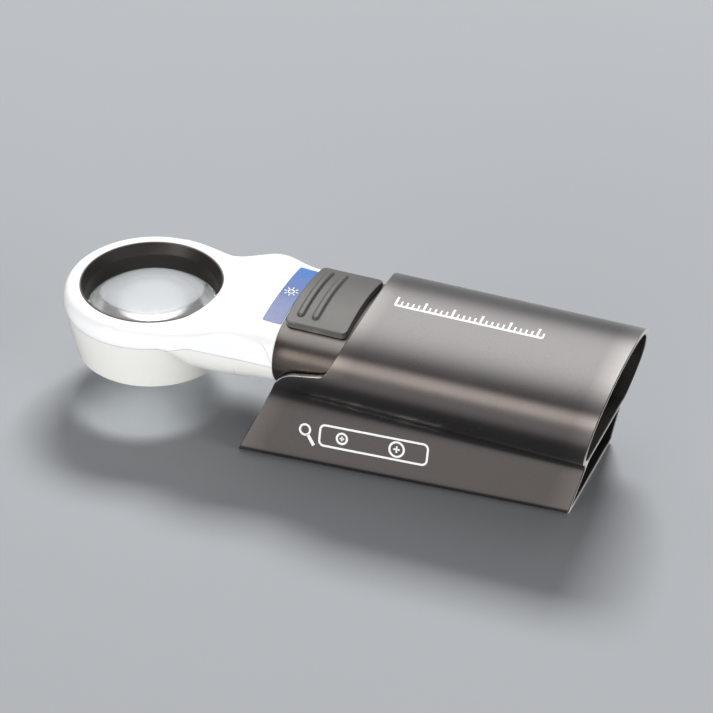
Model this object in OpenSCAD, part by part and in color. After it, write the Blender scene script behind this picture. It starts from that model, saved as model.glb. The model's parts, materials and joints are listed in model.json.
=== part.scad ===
// Battery hand magnifier with a slide-on sleeve stand.
// Origin: centre of the stand's resting face. +X towards the butt of the handle, +Z up.

/* [Stand] */
// Length of the stand's foot along the handle
stand_len = 87.7; // [86:0.1:90]
// Width of the foot at the head end
foot_w_front = 46.4; // [44:0.1:48]
// Width of the foot at the butt end
foot_w_back = 34.6; // [33:0.1:38]
// Radius of the rounded lower edge of the foot
foot_round = 2.2; // [1.8:0.1:3]
// Height of the sleeve's top above the table
stand_h = 43.8; // [43.6:0.1:46]
// Sheet thickness of the sleeve
stand_wall = 1.5; // [1.2:0.05:1.6]
// Thickness of the base plate
base_t = 1.3; // [1:0.1:1.6]
// Radius of the sleeve's side curves
tube_r = 13; // [12.8:0.1:13.4]
// Distance of the side curves' centres from the middle plane
tube_cy = 9; // [8.9:0.1:9.4]

/* [Handle] */
// Height of the handle's widest line above the table
grip_z = 26.8; // [26.6:0.1:27]
// Radius of the handle's side curves
grip_r = 8.6; // [8.4:0.1:8.7]
// Distance of the side curves' centres from the middle plane
grip_cy = 11; // [10.8:0.1:11.2]
// Rise of the handle's crown above its widest line
grip_up = 10.3; // [10.1:0.1:10.4]
// Depth of the handle's belly below its widest line
grip_down = 10.2; // [10:0.05:10.2]
// Wall thickness of all the moulded shells
shell_t = 1.8; // [1.6:0.1:1.9]

/* [Head] */
// Clear diameter of the lens in its ring
lens_d = 34.6; // [34:0.1:34.8]
// Radius of the opening in the white rim
rim_r = 18.75; // [18.6:0.05:18.9]
// Height of the rim above the table
rim_h = 29.8; // [29.4:0.1:30.2]
// Largest radius of the head
head_r = 23.2; // [22.8:0.1:23.6]
// Radius of the skirt's lower edge
skirt_r = 20.3; // [20:0.1:20.8]
// Height of the head from rim to skirt edge
head_h = 19.4; // [18:0.1:19.4]

/* [Switch] */
// Travel of the slide switch towards the head
switch_travel = 4; // [3:0.5:4]
// Length of the slider plate
slider_len = 16.8; // [16.4:0.1:17.2]
// Width of the slider plate
slider_w = 26.4; // [25:0.1:27]

/* [Cells] */
// Diameter of a cell
cell_d = 10.5; // [10:0.1:10.5]
// Length of a cell with its nub
cell_len = 44.5; // [44:0.1:44.5]

/* [Hidden] */
$fn = 96;
// Sides of a circle inside a hull, of a wire and of a lens face
hull_fn = 32;
wire_fn = 24;
lens_fn = 200;
// Clearance between fitted pieces, a sliver for joining solids, and a size beyond the whole model
gap = 0.05;
eps = 0.02;
big = 200;

// Places along X are measured from the lens axis, which lies this far from the origin
lens_x = -(stand_len / 2 + 33.4);
// Heights on the magnifier are measured from the rim
grip_c = grip_z - rim_h;

// Stand: slopes of its slanted ends, in X for each unit of Z
flap_slope = 0.44;
mouth_slope = 0.47;
butt_slope = 0.23;
floor_top = grip_z - grip_down - gap;
floor_t = 1.35;
floor_low = floor_top - floor_t;
tube_up = stand_h - grip_z;
// Top of the skirt inside the tube's wall, and the flap's inward lean in Y for each unit of Z
skirt_top_z = 19.6;
flap_lean = 0.23;
mouth_x = -33.55;
step_z = 28.5;
flap_top_z = 26.4;
flap_round = 8;
step_round = 2.5;
// Half-length of the sleeve before its ends are cut
loft_end = 60;

// Magnifier: stations along X from the lens axis
neck_root = 12;
neck_ramp = 19.5;
neck_full = 36.6;
neck_end = 42.2;
grip_start = neck_end + gap;
grip_end = 119.5;
cover_t = 2.5;
spigot_len = 2.8;
head_part_z = -5.5;
neck_part_z = -3.35;
part_x0 = 12.5;
part_x1 = 19;
neck_low = grip_c - grip_down;
neck_waist = 20.2;

// Lens seat
flange_top = -7.9;
flange_t = 1.6;
flange_r = 17.95;
ledge_r = 17.3;
ledge_t = 1.3;
ledge_ramp = 1.6;
skirt_in_r = 18.5;
ring_wall_top = -2.9;
ring_low = -7.62;
ring_lip = 0.5;
lens_top_r = 25.5;
lens_low_r = 28;
lens_top_z = -0.9;
lens_low_z = -15.7;
lens_r = lens_d / 2 - 0.1;

// Side wall of the head: its rounded top edge, then a gentle taper down to a small lip
edge_z = -4.2;
edge_r = head_r - 2.5;
foot_z = -head_h;
foot_lip = 0.6;
taper_power = 1.15;
head_steps = 10;

// Lamp and its window
window_x0 = 18.4;
window_x1 = 22.4;
window_w = 7;
window_z = [-13, -8.8];
window_slope = 1.2;
lamp_z = -9.9;
lamp_r = 1.35;
lamp_body_r = 1.45;
lamp_body_w = 3.5;
lamp_body_x = 23.6;
dome_x = 23.5;
dome_flat = 0.9;
board_x = [24.6, 25.6];
lamp_board_w = 7;
lamp_board_z = [-11.1, -5];
wire_r = 0.5;
wire_y = 1.6;
// Joints of a wire are a little thicker than the wire
wire_joint = 0.04;

// Printed label on the neck, in front of the switch
label_w = 25.6;
label_t = 0.12;

// Neck screws
screw_x = 33;
screw_y = 7.5;
screw_head_r = 2.1;
screw_head_t = 1.2;
screw_r = 1.05;
screw_len = 11;
boss_r = 2.8;
boss_z = [-11.4, 2.8];
screw_seat = -11.3;
screw_hole_l = 13.5;
head_hole_gap = 0.2;
shank_hole_gap = 0.15;
slot_l = 2.4;
slot_w = 0.5;
slot_deep = 0.7;

// Switch
slider_x = 43;
slider_lift = 0.25;
slider_t = 1.5;
slider_corner = 1.6;
rib_rise = 0.65;
rib_w = 1.7;
rib_len = 21.4;
rib_x = [3.3, 7.3];
stem_x = 50;
stem_l = 5;
stem_w = 6;
stem_low = 2.4;
stem_gap = 0.4;
pcb_x = [44.6, 67];
pcb_w = 23;
pcb_z = [0.3, 1.5];
pad_t = 0.1;
pad_lift = 0.01;
// Common pad, and the pad that is reached when the switch is on: X range, then Y range
pad_common = [[46, 56], [2, 4]];
pad_on = [[47, 50], [-4, -2.3]];
contact_t = 0.3;
contact_w = 8;
contact_foot_y = 3;
contact_foot_w = 1.2;
contact_foot_x = [2, 3];

// Resistor beside the switch: body, end caps and legs
resistor_at = [62, 3];
resistor_r = 1.1;
resistor_l = 5;
resistor_up = 1.3;
lead_r = 0.3;
lead_l = 1;
lead_drop = 1.25;

// Battery chamber
bulkhead_x = [68.6, 69.9];
bulkhead_top = 1.8;
bulkhead_w = 26;
rib_wall_t = 1.2;
rib_wall_x = [pcb_x[0] + 2, pcb_x[1] - 3];
rib_top_w = 20;
plate_t = 0.4;
plate_h = 6.8;
plate_half = 4;
front_plate_x = 70;
cell_pitch = 10.9;
nub_r = 1.9;
nub_l = 1;
nub_join = 0.1;
cell_x = front_plate_x + plate_t + gap;
spring_r = 3.2;
spring_wire = 0.35;
spring_turns = 3;
ring_n = 8;
turn_n = 18;
rear_plate_x = grip_end - plate_t;
rail_y = 5.45;
rail_w = 2.4;
rail_z = neck_low + shell_t + 0.6;
rail_x = [bulkhead_x[0] - 2, grip_end - 3];
// Height of the spring tongue that reaches from the rear contact to the rail
tongue_z = neck_low + 4.1;
tongue_y = rail_y - 0.5;
tongue_l = 4;
tongue_w = 1.7;
tab_w = 3.1;
rail_gap = 0.2;

// Battery cover: rounded end step, grip grooves and the collar that plugs into the handle
cover_step = 0.7;
collar_l = 2.7;
collar_t = 1.3;
groove_n = 2;
groove_pitch = 2;
groove_w = 0.8;
groove_l = 12;
groove_deep = 0.5;

// ---------- shared shapes ----------

module at_lens() translate([lens_x, 0, rim_h]) children();

// An outline in the YZ plane, extruded from x0 to x1
module along_x(x0, x1) translate([x0, 0, 0]) rotate([90, 0, 90]) linear_extrude(x1 - x0) children();

// An outline in the XZ plane, extruded across the whole width
module across_y() rotate([90, 0, 0]) linear_extrude(big, center = true) children();

// A block given by its low and high corners
module block(lo, hi) translate(lo) cube(hi - lo);

// Radius of the arc that joins two side circles over a crown of height up
function crown_r(cy, r, up) = (cy * cy + up * up - r * r) / (2 * (up - r));

// Half of a four-centred oval: the side circles and the crown between them
module half_oval(cy, r, up) {
    big_r = crown_r(cy, r, up);
    half = cy * big_r / (big_r - r);
    intersection() {
        translate([0, up - big_r]) circle(big_r, $fn = 2.5 * $fn);
        translate([-half, 0]) square([2 * half, up + 1]);
    }
    for (s = [-1, 1]) translate([s * cy, 0]) intersection() {
        circle(r);
        translate([-r, 0]) square([2 * r, r]);
    }
}

module oval(cy, r, up, down) {
    half_oval(cy, r, up);
    mirror([0, 1]) half_oval(cy, r, down);
}

// The handle's outline, shrunk by w (or grown when w is negative)
module grip_outline(w) translate([0, grip_c]) oval(grip_cy, grip_r - w, grip_up - w, grip_down - w);

// Half of the neck's plan outline
function neck_plan(w) = [[0, neck_waist - w], [neck_ramp, neck_waist - w],
    [neck_full, grip_cy + grip_r + 0.2 - w], [big, grip_cy + grip_r + 0.2 - w]];

// Points of a rounded corner at b, between the edges to a and to c
function unit(v) = v / norm(v);
function turned(v, t) = [v[0] * cos(t) - v[1] * sin(t), v[0] * sin(t) + v[1] * cos(t)];
function corner(a, b, c, r, steps = 8) =
    let (u = unit(a - b), v = unit(c - b), half = acos(u * v) / 2)
    let (centre = b + unit(u + v) * r / sin(half), first = b + u * r / tan(half) - centre)
    let (way = sign(u[1] * v[0] - u[0] * v[1]))
    [for (i = [0 : steps]) centre + turned(first, way * (180 - 2 * half) * i / steps)];

// ---------- stand ----------

module tube_outline(w, low) {
    translate([0, grip_z]) half_oval(tube_cy, tube_r - w, tube_up - w);
    intersection() {
        union() {
            for (s = [-1, 1]) translate([s * tube_cy, grip_z]) circle(tube_r - w);
            translate([-tube_cy, low]) square([2 * tube_cy, grip_z - low]);
        }
        translate([-big / 2, low]) square([big, grip_z - low + eps]);
    }
}

function foot_y(x) = (foot_w_front + foot_w_back) / 4 - x * (foot_w_front - foot_w_back) / (2 * stand_len);
function skirt_y(x, z) = foot_y(x) - flap_lean * z;

module skirt_section(x, w, low, top) along_x(x, x + eps) hull() for (s = [-1, 1]) {
    translate([s * (foot_y(x) - foot_round), foot_round]) intersection() {
        circle(foot_round - w, $fn = hull_fn);
        translate([-big / 2, low - foot_round]) square(big);
    }
    translate([s * (skirt_y(x, top) - w) - eps / 2, top - eps]) square([eps, eps]);
}

module skirt(w, low, top) hull() {
    skirt_section(-loft_end, w, low, top);
    skirt_section(loft_end, w, low, top);
}

// Side view of the stand: slanted ends, with the mouth of the tube cut back over the neck
module side_view() {
    top = stand_h + 1;
    foot = [-stand_len / 2, 0];
    flap = foot + [flap_slope * flap_top_z, flap_top_z];
    step = [mouth_x + mouth_slope * step_z, step_z];
    mouth = [mouth_x + mouth_slope * top, top];
    butt = [stand_len / 2 + butt_slope * top, top];
    polygon(concat([foot], corner(foot, flap, step, flap_round), corner(flap, step, mouth, step_round),
        [mouth, butt, [stand_len / 2, 0]]));
}

module stand_sleeve() color([0.3, 0.28, 0.27]) intersection() {
    union() {
        difference() {
            along_x(-loft_end, loft_end) tube_outline(0, floor_low);
            along_x(-loft_end - 1, loft_end + 1) tube_outline(stand_wall, floor_top);
        }
        difference() {
            skirt(0, 0, skirt_top_z);
            skirt(stand_wall, base_t, floor_low);
            along_x(-loft_end - 1, loft_end + 1) tube_outline(stand_wall, floor_top);
        }
    }
    across_y() side_view();
}

// ---------- head and neck ----------

// Outer radius of the head's wall, where t runs from 0 at its rounded edge to 1 at its foot
function side_r(t) = head_r - (head_r - skirt_r) * pow(t, taper_power);
function head_outline() = concat(
    [[0, 0]],
    [for (i = [0 : head_steps]) let (a = 90 * i / head_steps)
        [edge_r + (head_r - edge_r) * sin(a), edge_z * (1 - cos(a))]],
    [for (i = [1 : head_steps]) let (t = i / head_steps)
        [side_r(t), edge_z + (foot_z + foot_lip - edge_z) * t]],
    [[skirt_r - foot_lip, foot_z], [0, foot_z]]);

// The handle's outline carried forward to the head, cut by the ramp in side view and by the waist in plan
module neck_solid(w) intersection() {
    along_x(neck_root, neck_end) grip_outline(w);
    across_y() polygon([[0, -big], [0, -w], [neck_ramp, -w], [neck_full, grip_c + grip_up - w],
        [neck_full + 1, big], [big, big], [big, -big]]);
    linear_extrude(big, center = true) polygon(concat(
        neck_plan(w), [for (i = [3 : -1 : 0]) [neck_plan(w)[i][0], -neck_plan(w)[i][1]]]));
}

module head_solid() {
    rotate_extrude() polygon(head_outline());
    neck_solid(0);
}

// Bore for the lens and its ring, with the ledge that the flange rests on
module lens_bore() rotate_extrude() polygon([
    [0, 1], [rim_r, 1], [rim_r, flange_top], [flange_r + gap, flange_top],
    [flange_r + gap, flange_top - flange_t - gap], [ledge_r, flange_top - flange_t - gap],
    [ledge_r, flange_top - flange_t - ledge_t], [skirt_in_r, flange_top - flange_t - ledge_t - ledge_ramp],
    [skirt_in_r, foot_z - 1], [0, foot_z - 1]]);

module neck_hollow() difference() {
    union() {
        intersection() {
            neck_solid(shell_t);
            block([neck_root, -big / 2, -big / 2], [neck_end - 1.5, big / 2, big / 2]);
        }
        along_x(neck_end - 2, neck_end + spigot_len + 1) grip_outline(2 * shell_t);
    }
    translate([0, 0, -big / 2]) cylinder(r = window_x1 + 0.1, h = big);
}

module at_screws() for (s = [-1, 1]) translate([screw_x, s * screw_y, 0]) children();

module spigot() along_x(neck_end - 1.5, neck_end + spigot_len) grip_outline(shell_t + gap);

module window_hole() block([window_x0 - 4, -window_w / 2 - gap, window_z[0] - gap],
    [window_x1 + 1, window_w / 2 + gap, window_z[1] + gap]);

// Side view of everything above the moulded parting line, raised by lift
module above_parting(lift) across_y() polygon([
    [-big, head_part_z + lift], [part_x0, head_part_z + lift], [part_x1, neck_part_z + lift],
    [big, neck_part_z + lift], [big, big], [-big, big]]);

module shell_body() {
    difference() {
        union() {
            head_solid();
            spigot();
        }
        lens_bore();
        neck_hollow();
        window_hole();
    }
    at_screws() translate([0, 0, boss_z[0]]) cylinder(r = boss_r, h = boss_z[1] - boss_z[0]);
}

module head_upper_shell() color([0.97, 0.97, 0.97]) at_lens() difference() {
    intersection() {
        shell_body();
        above_parting(gap / 2);
    }
    at_screws() translate([0, 0, neck_low]) cylinder(r = screw_r + gap, h = screw_hole_l);
}

module head_lower_shell() color([0.9, 0.9, 0.87]) at_lens() difference() {
    shell_body();
    above_parting(-gap / 2);
    at_screws() {
        translate([0, 0, neck_low - 1])
            cylinder(r = screw_head_r + head_hole_gap, h = screw_seat + gap + 1 - neck_low);
        translate([0, 0, neck_low]) cylinder(r = screw_r + shank_hole_gap, h = big);
    }
}

module neck_screws() color("silver") at_lens() at_screws()
    translate([0, 0, screw_seat - screw_head_t]) difference() {
        union() {
            cylinder(r = screw_head_r, h = screw_head_t);
            cylinder(r = screw_r, h = screw_len);
        }
        for (turn = [0, 90]) rotate([0, 0, turn])
            translate([-slot_l / 2, -slot_w / 2, slot_deep - 1]) cube([slot_l, slot_w, 1]);
    }

module lens_ring() color([0.16, 0.15, 0.14]) at_lens() rotate_extrude() polygon([
    [rim_r - gap, 0], [rim_r - gap, ring_low], [lens_d / 2, ring_low], [lens_d / 2, ring_wall_top],
    [rim_r - ring_lip, 0]]);

module lens() color([0.85, 0.9, 0.92, 0.4]) at_lens() {
    intersection() {
        translate([0, 0, lens_top_z - lens_top_r]) sphere(lens_top_r, $fn = lens_fn);
        translate([0, 0, lens_low_z + lens_low_r]) sphere(lens_low_r, $fn = lens_fn);
        translate([0, 0, lens_low_z - 1]) cylinder(r = lens_r, h = lens_top_z - lens_low_z + 2);
    }
    translate([0, 0, flange_top - flange_t]) difference() {
        cylinder(r = flange_r, h = flange_t - gap);
        translate([0, 0, -1]) cylinder(r = lens_r - 1, h = flange_t + 2);
    }
}

module light_window() color([0.9, 0.95, 1, 0.5]) at_lens() intersection() {
    across_y() polygon([[window_x0, window_z[0]], [window_x1, window_z[0] + window_slope],
        [window_x1, window_z[1]], [window_x0, window_z[1]]]);
    block([0, -window_w / 2, -big / 2], [big, window_w / 2, 0]);
}

module led_board() color([0.1, 0.4, 0.2]) at_lens()
    block([board_x[0], -lamp_board_w / 2, lamp_board_z[0]], [board_x[1], lamp_board_w / 2, lamp_board_z[1]]);

module led_lamp() color([1, 0.98, 0.85]) at_lens() {
    block([lamp_body_x, -lamp_body_w / 2, lamp_z - lamp_body_r],
        [board_x[0], lamp_body_w / 2, lamp_z + lamp_body_r]);
    translate([dome_x, 0, lamp_z]) intersection() {
        sphere(lamp_r);
        block([-dome_flat, -lamp_r, -lamp_r] * 1.1, [lamp_body_x - dome_x + eps, lamp_r, lamp_r] * 1.1);
    }
}

// A round wire through a list of points
module wire(points) {
    for (i = [0 : len(points) - 2]) {
        run = points[i + 1] - points[i];
        translate(points[i]) rotate([0, acos(run[2] / norm(run)), atan2(run[1], run[0])])
            cylinder(r = wire_r, h = norm(run), $fn = wire_fn);
        translate(points[i + 1]) sphere(wire_r + wire_joint, $fn = wire_fn);
    }
}

// Path of a wire in side view, from the lamp board up through the neck to the switch board
wire_path = [[board_x[1] + gap, -6.5], [board_x[1] + 2.5, -6.3], [34, -3.5], [41, 2.2],
    [pcb_x[0] + wire_r + 0.2, pcb_z[1] + wire_r + gap]];

module led_wire(s) at_lens() wire([for (p = wire_path) [p[0], s * wire_y, p[1]]]);

module led_wire_positive() color([0.75, 0.1, 0.08]) led_wire(-1);

module led_wire_negative() color([0.08, 0.08, 0.08]) led_wire(1);

module function_label() color([0.25, 0.38, 0.68]) at_lens() intersection() {
    along_x(neck_full + 0.3, neck_end - 0.2) difference() {
        grip_outline(-label_t);
        grip_outline(-eps);
    }
    block([0, -label_w / 2, 0], [big, label_w / 2, big]);
}

// ---------- handle ----------

module grip_shell() {
    difference() {
        along_x(grip_start, grip_end) grip_outline(0);
        along_x(grip_start - 1, grip_end + 1) grip_outline(shell_t);
    }
}

module handle_upper_shell() color([0.32, 0.3, 0.29]) at_lens() difference() {
    intersection() {
        grip_shell();
        above_parting(gap / 2);
    }
    block([stem_x - switch_travel - stem_gap, -stem_w / 2 - stem_gap, 0],
        [stem_x + stem_l + stem_gap, stem_w / 2 + stem_gap, big]);
}

// Cross walls of the lower shell, from its floor up to a height
module cross_wall(x0, x1, top) intersection() {
    along_x(x0, x1) grip_outline(shell_t - 0.2);
    block([x0, -big / 2, -big / 2], [x1, big / 2, top]);
}

module handle_lower_shell() color([0.3, 0.28, 0.27]) at_lens() {
    difference() {
        grip_shell();
        above_parting(-gap / 2);
    }
    difference() {
        union() {
            for (x = rib_wall_x) cross_wall(x, x + rib_wall_t, neck_part_z - gap);
            cross_wall(bulkhead_x[0], bulkhead_x[1], neck_part_z - gap);
        }
        block([0, rail_y - rail_w / 2 - rail_gap, -big],
            [big, rail_y + rail_w / 2 + rail_gap, rail_z + plate_t + rail_gap]);
    }
    for (x = rib_wall_x)
        block([x, -rib_top_w / 2, neck_part_z - 1], [x + rib_wall_t, rib_top_w / 2, pcb_z[0] - gap]);
    block([bulkhead_x[0], -bulkhead_w / 2, neck_part_z - 1], [bulkhead_x[1], bulkhead_w / 2, bulkhead_top]);
}

// Upper part of a band that follows the handle's surface, between two lifts
module surface_band(x0, x1, lift0, lift1) intersection() {
    along_x(x0, x1) difference() {
        grip_outline(-lift1);
        grip_outline(-lift0);
    }
    block([x0, -big / 2, 0], [x1, big / 2, big]);
}

// Plan view of a plate with rounded corners, as a tall prism
module rounded_plan(x0, y0, size, r) translate([x0, y0, 0]) linear_extrude(big) {
    translate([r, 0]) square([size[0] - 2 * r, size[1]]);
    translate([0, r]) square([size[0], size[1] - 2 * r]);
    for (x = [r, size[0] - r], y = [r, size[1] - r]) translate([x, y]) circle(r);
}

module switch_slider() color([0.34, 0.32, 0.31]) at_lens() {
    intersection() {
        surface_band(slider_x, slider_x + slider_len, slider_lift, slider_lift + slider_t);
        rounded_plan(slider_x, -slider_w / 2, [slider_len, slider_w], slider_corner);
    }
    for (x = rib_x) intersection() {
        surface_band(slider_x + x - rib_w / 2, slider_x + x + rib_w / 2,
            slider_lift + slider_t - 0.2, slider_lift + slider_t + rib_rise);
        rounded_plan(slider_x + x - rib_w / 2, -rib_len / 2, [rib_w, rib_len], rib_w / 2 - eps);
    }
    block([stem_x, -stem_w / 2, stem_low], [stem_x + stem_l, stem_w / 2, grip_c + grip_up + slider_t / 2]);
}

module switch_bridge_contact() color([0.8, 0.7, 0.45]) at_lens() {
    block([stem_x + 0.5, -contact_w / 2, stem_low - contact_t - pad_lift],
        [stem_x + stem_l - 0.5, contact_w / 2, stem_low - pad_lift]);
    for (y = [-contact_foot_y, contact_foot_y])
        block([stem_x + contact_foot_x[0], y - contact_foot_w / 2, pcb_z[1] + pad_t + gap],
            [stem_x + contact_foot_x[1], y + contact_foot_w / 2, stem_low - contact_t]);
}

module switch_pads() color([0.85, 0.7, 0.35]) at_lens() {
    for (pad = [pad_common, pad_on])
        block([pad[0][0], pad[1][0], pcb_z[1] + pad_lift], [pad[0][1], pad[1][1], pcb_z[1] + pad_t]);
}

module switch_board() color([0.08, 0.35, 0.18]) at_lens()
    block([pcb_x[0], -pcb_w / 2, pcb_z[0]], [pcb_x[1], pcb_w / 2, pcb_z[1]]);

module drive_resistor() color([0.8, 0.72, 0.55]) at_lens()
    translate([resistor_at[0], resistor_at[1], pcb_z[1] + resistor_up]) {
        rotate([-90, 0, 0]) cylinder(r = resistor_r, h = resistor_l);
        translate([0, -lead_l, 0]) rotate([-90, 0, 0]) cylinder(r = lead_r, h = resistor_l + 2 * lead_l);
        for (y = [lead_r - lead_l, resistor_l + lead_l - lead_r])
            translate([0, y, -lead_drop]) cylinder(r = lead_r - eps, h = lead_drop);
    }

module battery_cover() color([0.38, 0.36, 0.35]) at_lens() {
    difference() {
        union() {
            along_x(grip_end + gap, grip_end + cover_t - cover_step) grip_outline(0);
            along_x(grip_end + cover_t - cover_step - eps, grip_end + cover_t) grip_outline(cover_step);
        }
        for (i = [-groove_n : groove_n])
            translate([grip_end + cover_t - groove_deep, -groove_l / 2, grip_c + i * groove_pitch])
                cube([1, groove_l, groove_w]);
    }
    difference() {
        along_x(grip_end - collar_l, grip_end + 0.5) grip_outline(shell_t + 0.1);
        along_x(grip_end - collar_l - 1, grip_end + gap) grip_outline(shell_t + 0.1 + collar_t);
    }
}

// ---------- cells and contacts ----------

// A cell with its nub at the front, or at the rear when turned is true
module cell(y, turned) at_lens() {
    x = turned ? rear_plate_x - gap - cell_len : cell_x;
    body_x = turned ? x : x + nub_l;
    nub_x = turned ? x + cell_len - nub_l - nub_join : x;
    translate([body_x, y, grip_c]) rotate([0, 90, 0]) cylinder(r = cell_d / 2, h = cell_len - nub_l);
    translate([nub_x, y, grip_c]) rotate([0, 90, 0]) cylinder(r = nub_r, h = nub_l + nub_join);
}

module battery_cell_left() color([0.2, 0.35, 0.6]) cell(-cell_pitch, false);

module battery_cell_middle() color([0.2, 0.35, 0.6]) cell(0, true);

module battery_cell_right() color([0.2, 0.35, 0.6]) cell(cell_pitch, false);

// A contact plate across the chamber, from y0 to y1
module contact_plate(x, y0, y1)
    block([x, y0, grip_c - plate_h / 2], [x + plate_t, y1, grip_c + plate_h / 2]);

module front_contact_positive() color("silver") at_lens()
    contact_plate(front_plate_x, -cell_pitch - plate_half, plate_half - cell_pitch);

module front_contact_bridge() color("silver") at_lens()
    contact_plate(front_plate_x, -plate_half, cell_pitch + plate_half);

// A coil of round wire along X, made of rings of points that follow the helix
module coil(x0, length) {
    steps = spring_turns * turn_n;
    rise = length - 2 * spring_wire;
    points = [for (i = [0 : steps], j = [0 : ring_n - 1])
        let (turn = 360 * i / turn_n, a = 360 * j / ring_n)
        let (radius = spring_r + spring_wire * cos(a))
        [x0 + spring_wire + rise * i / steps + spring_wire * sin(a), radius * cos(turn), radius * sin(turn)]];
    sides = [for (i = [0 : steps - 1], j = [0 : ring_n - 1])
        let (k = (j + 1) % ring_n)
        [i * ring_n + j, i * ring_n + k, (i + 1) * ring_n + k, (i + 1) * ring_n + j]];
    first = [for (j = [ring_n - 1 : -1 : 0]) j];
    last = [for (j = [0 : ring_n - 1]) steps * ring_n + j];
    polyhedron(concat(points), concat(sides, [first, last]));
}

module front_spring() color("silver") at_lens() translate([0, 0, grip_c])
    coil(front_plate_x + plate_t + gap, rear_plate_x - cell_len - front_plate_x - plate_t - 3 * gap);

module rear_springs() color("silver") at_lens() for (s = [-1, 1]) translate([0, s * cell_pitch, grip_c])
    coil(cell_x + cell_len + gap, rear_plate_x - cell_x - cell_len - 2 * gap);

module rear_contact_bridge() color("silver") at_lens()
    contact_plate(rear_plate_x, -cell_pitch - plate_half, plate_half);

module rear_contact_negative() color("silver") at_lens() {
    contact_plate(rear_plate_x, cell_pitch - plate_half - 0.5, cell_pitch + plate_half);
    block([rear_plate_x, tongue_y, tongue_z], [grip_end, tongue_y + tab_w, grip_c - plate_h / 2 + eps]);
    block([grip_end - tongue_l, tongue_y, tongue_z], [grip_end, tongue_y + tongue_w, tongue_z + plate_t]);
}

// A sprung upright of the rail, from the rail up to a height
module rail_upright(x, w, top) block([x, rail_y - w / 2, rail_z], [x + plate_t, rail_y + w / 2, top]);

module negative_rail() color([0.8, 0.75, 0.6]) at_lens() {
    block([rail_x[0], rail_y - rail_w / 2, rail_z], [rail_x[1], rail_y + rail_w / 2, rail_z + plate_t]);
    rail_upright(rail_x[1] - 0.8, tongue_w, tongue_z - gap);
    rail_upright(rail_x[0], 2, pcb_z[0] - gap);
}

stand_sleeve();
head_upper_shell();
head_lower_shell();
lens_ring();
lens();
light_window();
led_board();
led_lamp();
led_wire_positive();
led_wire_negative();
neck_screws();
function_label();
handle_upper_shell();
handle_lower_shell();
switch_slider();
switch_bridge_contact();
switch_pads();
switch_board();
drive_resistor();
battery_cover();
battery_cell_left();
battery_cell_middle();
battery_cell_right();
front_contact_positive();
front_contact_bridge();
front_spring();
rear_contact_bridge();
rear_contact_negative();
rear_springs();
negative_rail();
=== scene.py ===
import json
import math

import bmesh
import bpy
import numpy as np
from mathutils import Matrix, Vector
from mathutils.geometry import delaunay_2d_cdt


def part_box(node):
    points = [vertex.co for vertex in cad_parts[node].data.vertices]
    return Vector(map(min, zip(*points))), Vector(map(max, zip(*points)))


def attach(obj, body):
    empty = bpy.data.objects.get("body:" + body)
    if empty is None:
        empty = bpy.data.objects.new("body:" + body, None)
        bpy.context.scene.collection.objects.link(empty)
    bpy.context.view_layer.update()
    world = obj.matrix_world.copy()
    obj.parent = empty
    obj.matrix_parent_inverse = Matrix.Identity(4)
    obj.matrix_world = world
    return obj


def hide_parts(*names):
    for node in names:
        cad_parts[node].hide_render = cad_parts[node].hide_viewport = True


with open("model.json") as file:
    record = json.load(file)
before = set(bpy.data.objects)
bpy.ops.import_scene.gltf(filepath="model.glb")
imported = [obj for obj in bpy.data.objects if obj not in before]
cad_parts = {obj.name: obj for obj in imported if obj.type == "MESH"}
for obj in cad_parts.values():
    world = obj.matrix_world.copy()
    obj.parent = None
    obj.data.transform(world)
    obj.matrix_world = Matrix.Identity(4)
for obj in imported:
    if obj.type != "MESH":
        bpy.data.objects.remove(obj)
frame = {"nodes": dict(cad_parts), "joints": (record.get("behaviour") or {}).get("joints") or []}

bpy.context.view_layer.update()
scene = bpy.context.scene
MM = 0.001

# ---------- places worked out from the frame, in millimetres ----------

sleeve_low, sleeve_high = (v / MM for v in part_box("stand_sleeve"))
ring_low, ring_high = (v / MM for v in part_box("lens_ring"))
lens_low, lens_high = (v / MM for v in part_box("lens"))
grip_low, grip_high = (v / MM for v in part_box("handle_lower_shell"))
crown_low, crown_high = (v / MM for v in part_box("handle_upper_shell"))
head_low, head_high = (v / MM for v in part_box("head_upper_shell"))
skirt_low, skirt_high = (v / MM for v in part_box("head_lower_shell"))
plate_low, plate_high = (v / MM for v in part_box("switch_slider"))
label_low, label_high = (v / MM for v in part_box("function_label"))

LENS_X = (ring_low.x + ring_high.x) / 2
RIM_Z = ring_high.z


# ---------- small geometry helpers ----------

def arc(cy, cz, radius, start, end, count):
    """Points of an arc in degrees, from start to end."""
    angles = np.radians(np.linspace(start, end, count))
    return np.column_stack([cy + radius * np.cos(angles), cz + radius * np.sin(angles)])


def bend(a, b, c, count):
    """A smooth corner at b, as a quadratic curve from a to c."""
    t = np.linspace(0, 1, count)[:, None]
    return (1 - t) ** 2 * np.array(a) + 2 * t * (1 - t) * np.array(b) + t ** 2 * np.array(c)


def line(a, b, count):
    return np.linspace(a, b, count)


def crown_radius(cy, radius, rise):
    """Radius of the crown that joins two side circles of a four-centred oval."""
    return (cy ** 2 + rise ** 2 - radius ** 2) / (2 * (rise - radius))


def crown_turn(cy, radius, rise):
    """Angle, seen from the crown's centre, at which the crown meets the side circle."""
    return math.degrees(math.atan2(crown_radius(cy, radius, rise) - rise, cy))


def half_oval(cy, radius, rise, count):
    """Upper half of a four-centred oval about its widest line, from +Y over the crown to -Y."""
    big = crown_radius(cy, radius, rise)
    turn = crown_turn(cy, radius, rise)
    side = arc(cy, 0, radius, 0, turn, count)
    crown = arc(0, rise - big, big, turn, 180 - turn, 2 * count)
    return np.vstack([side, crown[1:-1], side[::-1] * [-1, 1]])


def mirrored(half):
    """A closed outline from its right half, which runs from the middle plane to the middle plane."""
    return np.vstack([half, (half[::-1] * [-1, 1])[1:-1]])


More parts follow.
